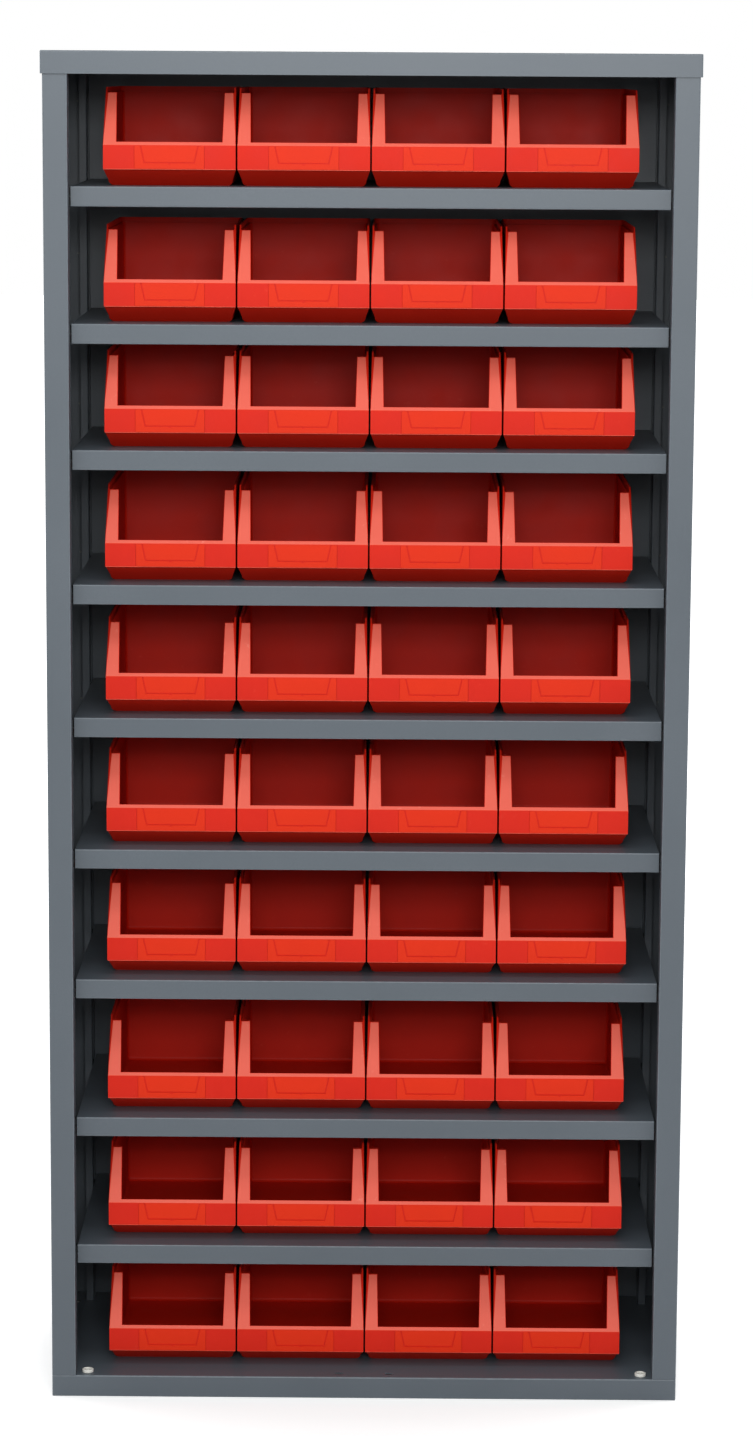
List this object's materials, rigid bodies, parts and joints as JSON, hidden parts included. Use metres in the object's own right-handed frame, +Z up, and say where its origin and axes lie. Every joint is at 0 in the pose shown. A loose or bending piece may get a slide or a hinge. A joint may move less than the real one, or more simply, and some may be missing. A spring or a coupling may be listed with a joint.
{
  "type": "parts bin cabinet",
  "caption": "Tall open-fronted sheet-steel cabinet with slotted rails, clipped-in shelves and rows of open-fronted plastic bins that slide forward and out.",
  "frame": {"origin": "middle of the footprint on the floor, which is the bottom centre of the bounding box", "axes": "+Z up; +X to the right seen from the front; the open front faces -Y, and the bins slide out along -Y"},
  "size_m": [1.006, 0.441, 2.13],
  "materials": {
    "grey_paint": "fine-textured satin powder coat",
    "red_plastic": "satin moulded polypropylene",
    "white_nylon": "moulded nylon",
    "zinc_plate": "bright zinc plate"
  },
  "bodies": {
    "carcass": {"top_cap": "grey_paint", "base_pan": "grey_paint", "left_side": "grey_paint", "right_side": "grey_paint", "back_panel": "grey_paint", "left_rails": "grey_paint", "right_rails": "grey_paint", "shelf_1": "grey_paint", "shelf_2": "grey_paint", "shelf_3": "grey_paint", "shelf_4": "grey_paint", "shelf_5": "grey_paint", "shelf_6": "grey_paint", "shelf_7": "grey_paint", "shelf_8": "grey_paint", "shelf_9": "grey_paint", "shelf_clips": "zinc_plate", "pivot_bushes": "white_nylon", "back_rivets": "zinc_plate", "base_screws": "zinc_plate"},
    "bin_r1_c1": {"bin_r1_c1": "red_plastic"},
    "bin_r1_c2": {"bin_r1_c2": "red_plastic"},
    "bin_r1_c3": {"bin_r1_c3": "red_plastic"},
    "bin_r1_c4": {"bin_r1_c4": "red_plastic"},
    "bin_r2_c1": {"bin_r2_c1": "red_plastic"},
    "bin_r2_c2": {"bin_r2_c2": "red_plastic"},
    "bin_r2_c3": {"bin_r2_c3": "red_plastic"},
    "bin_r2_c4": {"bin_r2_c4": "red_plastic"},
    "bin_r3_c1": {"bin_r3_c1": "red_plastic"},
    "bin_r3_c2": {"bin_r3_c2": "red_plastic"},
    "bin_r3_c3": {"bin_r3_c3": "red_plastic"},
    "bin_r3_c4": {"bin_r3_c4": "red_plastic"},
    "bin_r4_c1": {"bin_r4_c1": "red_plastic"},
    "bin_r4_c2": {"bin_r4_c2": "red_plastic"},
    "bin_r4_c3": {"bin_r4_c3": "red_plastic"},
    "bin_r4_c4": {"bin_r4_c4": "red_plastic"},
    "bin_r5_c1": {"bin_r5_c1": "red_plastic"},
    "bin_r5_c2": {"bin_r5_c2": "red_plastic"},
    "bin_r5_c3": {"bin_r5_c3": "red_plastic"},
    "bin_r5_c4": {"bin_r5_c4": "red_plastic"},
    "bin_r6_c1": {"bin_r6_c1": "red_plastic"},
    "bin_r6_c2": {"bin_r6_c2": "red_plastic"},
    "bin_r6_c3": {"bin_r6_c3": "red_plastic"},
    "bin_r6_c4": {"bin_r6_c4": "red_plastic"},
    "bin_r7_c1": {"bin_r7_c1": "red_plastic"},
    "bin_r7_c2": {"bin_r7_c2": "red_plastic"},
    "bin_r7_c3": {"bin_r7_c3": "red_plastic"},
    "bin_r7_c4": {"bin_r7_c4": "red_plastic"},
    "bin_r8_c1": {"bin_r8_c1": "red_plastic"},
    "bin_r8_c2": {"bin_r8_c2": "red_plastic"},
    "bin_r8_c3": {"bin_r8_c3": "red_plastic"},
    "bin_r8_c4": {"bin_r8_c4": "red_plastic"},
    "bin_r9_c1": {"bin_r9_c1": "red_plastic"},
    "bin_r9_c2": {"bin_r9_c2": "red_plastic"},
    "bin_r9_c3": {"bin_r9_c3": "red_plastic"},
    "bin_r9_c4": {"bin_r9_c4": "red_plastic"},
    "bin_r10_c1": {"bin_r10_c1": "red_plastic"},
    "bin_r10_c2": {"bin_r10_c2": "red_plastic"},
    "bin_r10_c3": {"bin_r10_c3": "red_plastic"},
    "bin_r10_c4": {"bin_r10_c4": "red_plastic"}
  },
  "joints": [
    {"name": "bin_r1_c1_slide", "type": "slide", "parent": "carcass", "child": "bin_r1_c1", "axis": [0, -1, 0], "range_m": [-0.04, 0.4]},
    {"name": "bin_r1_c2_slide", "type": "slide", "parent": "carcass", "child": "bin_r1_c2", "axis": [0, -1, 0], "range_m": [-0.04, 0.4]},
    {"name": "bin_r1_c3_slide", "type": "slide", "parent": "carcass", "child": "bin_r1_c3", "axis": [0, -1, 0], "range_m": [-0.04, 0.4]},
    {"name": "bin_r1_c4_slide", "type": "slide", "parent": "carcass", "child": "bin_r1_c4", "axis": [0, -1, 0], "range_m": [-0.04, 0.4]},
    {"name": "bin_r2_c1_slide", "type": "slide", "parent": "carcass", "child": "bin_r2_c1", "axis": [0, -1, 0], "range_m": [-0.04, 0.4]},
    {"name": "bin_r2_c2_slide", "type": "slide", "parent": "carcass", "child": "bin_r2_c2", "axis": [0, -1, 0], "range_m": [-0.04, 0.4]},
    {"name": "bin_r2_c3_slide", "type": "slide", "parent": "carcass", "child": "bin_r2_c3", "axis": [0, -1, 0], "range_m": [-0.04, 0.4]},
    {"name": "bin_r2_c4_slide", "type": "slide", "parent": "carcass", "child": "bin_r2_c4", "axis": [0, -1, 0], "range_m": [-0.04, 0.4]},
    {"name": "bin_r3_c1_slide", "type": "slide", "parent": "carcass", "child": "bin_r3_c1", "axis": [0, -1, 0], "range_m": [-0.04, 0.4]},
    {"name": "bin_r3_c2_slide", "type": "slide", "parent": "carcass", "child": "bin_r3_c2", "axis": [0, -1, 0], "range_m": [-0.04, 0.4]},
    {"name": "bin_r3_c3_slide", "type": "slide", "parent": "carcass", "child": "bin_r3_c3", "axis": [0, -1, 0], "range_m": [-0.04, 0.4]},
    {"name": "bin_r3_c4_slide", "type": "slide", "parent": "carcass", "child": "bin_r3_c4", "axis": [0, -1, 0], "range_m": [-0.04, 0.4]},
    {"name": "bin_r4_c1_slide", "type": "slide", "parent": "carcass", "child": "bin_r4_c1", "axis": [0, -1, 0], "range_m": [-0.04, 0.4]},
    {"name": "bin_r4_c2_slide", "type": "slide", "parent": "carcass", "child": "bin_r4_c2", "axis": [0, -1, 0], "range_m": [-0.04, 0.4]},
    {"name": "bin_r4_c3_slide", "type": "slide", "parent": "carcass", "child": "bin_r4_c3", "axis": [0, -1, 0], "range_m": [-0.04, 0.4]},
    {"name": "bin_r4_c4_slide", "type": "slide", "parent": "carcass", "child": "bin_r4_c4", "axis": [0, -1, 0], "range_m": [-0.04, 0.4]},
    {"name": "bin_r5_c1_slide", "type": "slide", "parent": "carcass", "child": "bin_r5_c1", "axis": [0, -1, 0], "range_m": [-0.04, 0.4]},
    {"name": "bin_r5_c2_slide", "type": "slide", "parent": "carcass", "child": "bin_r5_c2", "axis": [0, -1, 0], "range_m": [-0.04, 0.4]},
    {"name": "bin_r5_c3_slide", "type": "slide", "parent": "carcass", "child": "bin_r5_c3", "axis": [0, -1, 0], "range_m": [-0.04, 0.4]},
    {"name": "bin_r5_c4_slide", "type": "slide", "parent": "carcass", "child": "bin_r5_c4", "axis": [0, -1, 0], "range_m": [-0.04, 0.4]},
    {"name": "bin_r6_c1_slide", "type": "slide", "parent": "carcass", "child": "bin_r6_c1", "axis": [0, -1, 0], "range_m": [-0.04, 0.4]},
    {"name": "bin_r6_c2_slide", "type": "slide", "parent": "carcass", "child": "bin_r6_c2", "axis": [0, -1, 0], "range_m": [-0.04, 0.4]},
    {"name": "bin_r6_c3_slide", "type": "slide", "parent": "carcass", "child": "bin_r6_c3", "axis": [0, -1, 0], "range_m": [-0.04, 0.4]},
    {"name": "bin_r6_c4_slide", "type": "slide", "parent": "carcass", "child": "bin_r6_c4", "axis": [0, -1, 0], "range_m": [-0.04, 0.4]},
    {"name": "bin_r7_c1_slide", "type": "slide", "parent": "carcass", "child": "bin_r7_c1", "axis": [0, -1, 0], "range_m": [-0.04, 0.4]},
    {"name": "bin_r7_c2_slide", "type": "slide", "parent": "carcass", "child": "bin_r7_c2", "axis": [0, -1, 0], "range_m": [-0.04, 0.4]},
    {"name": "bin_r7_c3_slide", "type": "slide", "parent": "carcass", "child": "bin_r7_c3", "axis": [0, -1, 0], "range_m": [-0.04, 0.4]},
    {"name": "bin_r7_c4_slide", "type": "slide", "parent": "carcass", "child": "bin_r7_c4", "axis": [0, -1, 0], "range_m": [-0.04, 0.4]},
    {"name": "bin_r8_c1_slide", "type": "slide", "parent": "carcass", "child": "bin_r8_c1", "axis": [0, -1, 0], "range_m": [-0.04, 0.4]},
    {"name": "bin_r8_c2_slide", "type": "slide", "parent": "carcass", "child": "bin_r8_c2", "axis": [0, -1, 0], "range_m": [-0.04, 0.4]},
    {"name": "bin_r8_c3_slide", "type": "slide", "parent": "carcass", "child": "bin_r8_c3", "axis": [0, -1, 0], "range_m": [-0.04, 0.4]},
    {"name": "bin_r8_c4_slide", "type": "slide", "parent": "carcass", "child": "bin_r8_c4", "axis": [0, -1, 0], "range_m": [-0.04, 0.4]},
    {"name": "bin_r9_c1_slide", "type": "slide", "parent": "carcass", "child": "bin_r9_c1", "axis": [0, -1, 0], "range_m": [-0.04, 0.4]},
    {"name": "bin_r9_c2_slide", "type": "slide", "parent": "carcass", "child": "bin_r9_c2", "axis": [0, -1, 0], "range_m": [-0.04, 0.4]},
    {"name": "bin_r9_c3_slide", "type": "slide", "parent": "carcass", "child": "bin_r9_c3", "axis": [0, -1, 0], "range_m": [-0.04, 0.4]},
    {"name": "bin_r9_c4_slide", "type": "slide", "parent": "carcass", "child": "bin_r9_c4", "axis": [0, -1, 0], "range_m": [-0.04, 0.4]},
    {"name": "bin_r10_c1_slide", "type": "slide", "parent": "carcass", "child": "bin_r10_c1", "axis": [0, -1, 0], "range_m": [-0.04, 0.4]},
    {"name": "bin_r10_c2_slide", "type": "slide", "parent": "carcass", "child": "bin_r10_c2", "axis": [0, -1, 0], "range_m": [-0.04, 0.4]},
    {"name": "bin_r10_c3_slide", "type": "slide", "parent": "carcass", "child": "bin_r10_c3", "axis": [0, -1, 0], "range_m": [-0.04, 0.4]},
    {"name": "bin_r10_c4_slide", "type": "slide", "parent": "carcass", "child": "bin_r10_c4", "axis": [0, -1, 0], "range_m": [-0.04, 0.4]}
  ]
}
